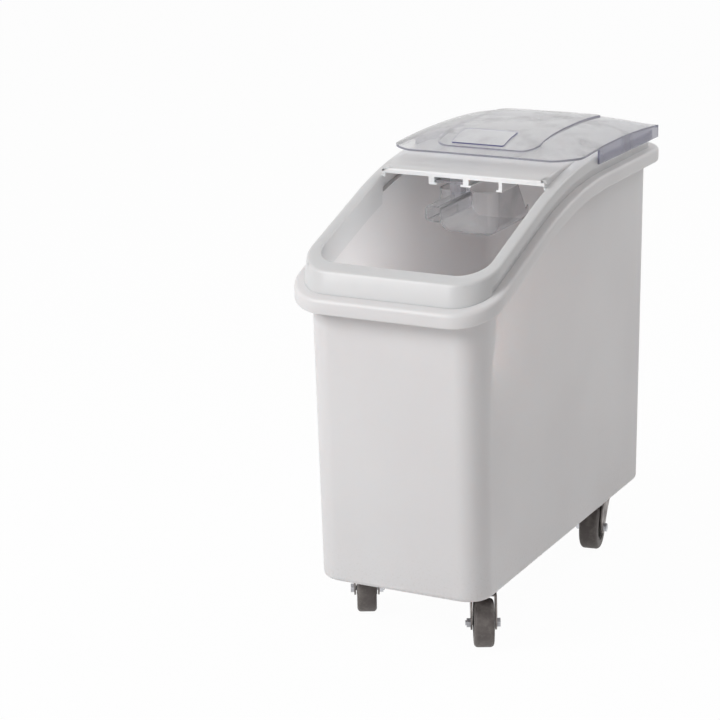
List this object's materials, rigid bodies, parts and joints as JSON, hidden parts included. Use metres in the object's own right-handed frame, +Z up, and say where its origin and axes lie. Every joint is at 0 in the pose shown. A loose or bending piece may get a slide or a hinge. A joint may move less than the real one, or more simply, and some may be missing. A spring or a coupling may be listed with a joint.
{
  "type": "ingredient bin",
  "caption": "Tall slant-front ingredient bin on swivel casters, with a clear sliding lid that travels back over a raised deck and a scoop hung on rails under it.",
  "frame": {"origin": "on the floor under the middle of the bin", "axes": "+X to the bin's left-to-right width as seen from the front, -Y the low front, +Z up"},
  "size_m": [0.338, 0.749, 0.7378],
  "materials": {
    "white_polyethylene": "satin moulded",
    "white_lid_frame": "satin moulded",
    "clear_lid": "polished clear polycarbonate",
    "clear_label_pocket": "polished clear polycarbonate",
    "clear_scoop": "polished clear polycarbonate",
    "caster_steel": "zinc plated, dulled",
    "kingpin_steel": "turned",
    "fastener_zinc": "bright zinc",
    "axle_zinc": "bright zinc",
    "wheel_tread": "moulded grey-brown tread",
    "wheel_hub": "moulded nylon"
  },
  "bodies": {
    "bin": {"tub": "white_polyethylene", "lid_frame": "white_lid_frame", "front_left_top_plate": "caster_steel", "front_left_kingpin": "kingpin_steel", "front_left_mount_bolts": "fastener_zinc", "front_left_mount_nuts": "fastener_zinc", "front_right_top_plate": "caster_steel", "front_right_kingpin": "kingpin_steel", "front_right_mount_bolts": "fastener_zinc", "front_right_mount_nuts": "fastener_zinc", "rear_right_top_plate": "caster_steel", "rear_right_kingpin": "kingpin_steel", "rear_right_mount_bolts": "fastener_zinc", "rear_right_mount_nuts": "fastener_zinc", "rear_left_top_plate": "caster_steel", "rear_left_kingpin": "kingpin_steel", "rear_left_mount_bolts": "fastener_zinc", "rear_left_mount_nuts": "fastener_zinc"},
    "lid": {"sliding_lid": "clear_lid", "label_pocket": "clear_label_pocket"},
    "scoop": {"scoop": "clear_scoop"},
    "front_left_swivel": {"front_left_fork": "caster_steel", "front_left_axle_bolt": "axle_zinc", "front_left_axle_nut": "axle_zinc"},
    "front_left_wheel": {"front_left_tyre": "wheel_tread", "front_left_hub": "wheel_hub"},
    "front_right_swivel": {"front_right_fork": "caster_steel", "front_right_axle_bolt": "axle_zinc", "front_right_axle_nut": "axle_zinc"},
    "front_right_wheel": {"front_right_tyre": "wheel_tread", "front_right_hub": "wheel_hub"},
    "rear_right_swivel": {"rear_right_fork": "caster_steel", "rear_right_axle_bolt": "axle_zinc", "rear_right_axle_nut": "axle_zinc"},
    "rear_right_wheel": {"rear_right_tyre": "wheel_tread", "rear_right_hub": "wheel_hub"},
    "rear_left_swivel": {"rear_left_fork": "caster_steel", "rear_left_axle_bolt": "axle_zinc", "rear_left_axle_nut": "axle_zinc"},
    "rear_left_wheel": {"rear_left_tyre": "wheel_tread", "rear_left_hub": "wheel_hub"}
  },
  "joints": [
    {"name": "lid_travel", "type": "hinge", "parent": "bin", "child": "lid", "pos_m": [0, 0.131, -0.2272], "axis": [1, 0, 0], "range_deg": [0, 19.7]},
    {"name": "scoop_take_out", "type": "slide", "parent": "bin", "child": "scoop", "axis": [0, -1, 0], "range_m": [0, 0.06]},
    {"name": "front_left_swivel_turn", "type": "hinge", "parent": "bin", "child": "front_left_swivel", "pos_m": [-0.1, -0.235, 0.085], "axis": [0, 0, 1], "continuous": true},
    {"name": "front_left_wheel_spin", "type": "hinge", "parent": "front_left_swivel", "child": "front_left_wheel", "pos_m": [-0.11362, -0.20827, 0.0375], "axis": [0.891, 0.454, 0], "continuous": true},
    {"name": "front_right_swivel_turn", "type": "hinge", "parent": "bin", "child": "front_right_swivel", "pos_m": [0.1, -0.235, 0.085], "axis": [0, 0, 1], "continuous": true},
    {"name": "front_right_wheel_spin", "type": "hinge", "parent": "front_right_swivel", "child": "front_right_wheel", "pos_m": [0.11362, -0.26173, 0.0375], "axis": [-0.891, -0.454, 0], "continuous": true},
    {"name": "rear_right_swivel_turn", "type": "hinge", "parent": "bin", "child": "rear_right_swivel", "pos_m": [0.1, 0.235, 0.085], "axis": [0, 0, 1], "continuous": true},
    {"name": "rear_right_wheel_spin", "type": "hinge", "parent": "rear_right_swivel", "child": "rear_right_wheel", "pos_m": [0.10469, 0.20537, 0.0375], "axis": [-0.9877, -0.1564, 0], "continuous": true},
    {"name": "rear_left_swivel_turn", "type": "hinge", "parent": "bin", "child": "rear_left_swivel", "pos_m": [-0.1, 0.235, 0.085], "axis": [0, 0, 1], "continuous": true},
    {"name": "rear_left_wheel_spin", "type": "hinge", "parent": "rear_left_swivel", "child": "rear_left_wheel", "pos_m": [-0.11026, 0.20681, 0.0375], "axis": [-0.9397, 0.342, 0], "continuous": true}
  ]
}
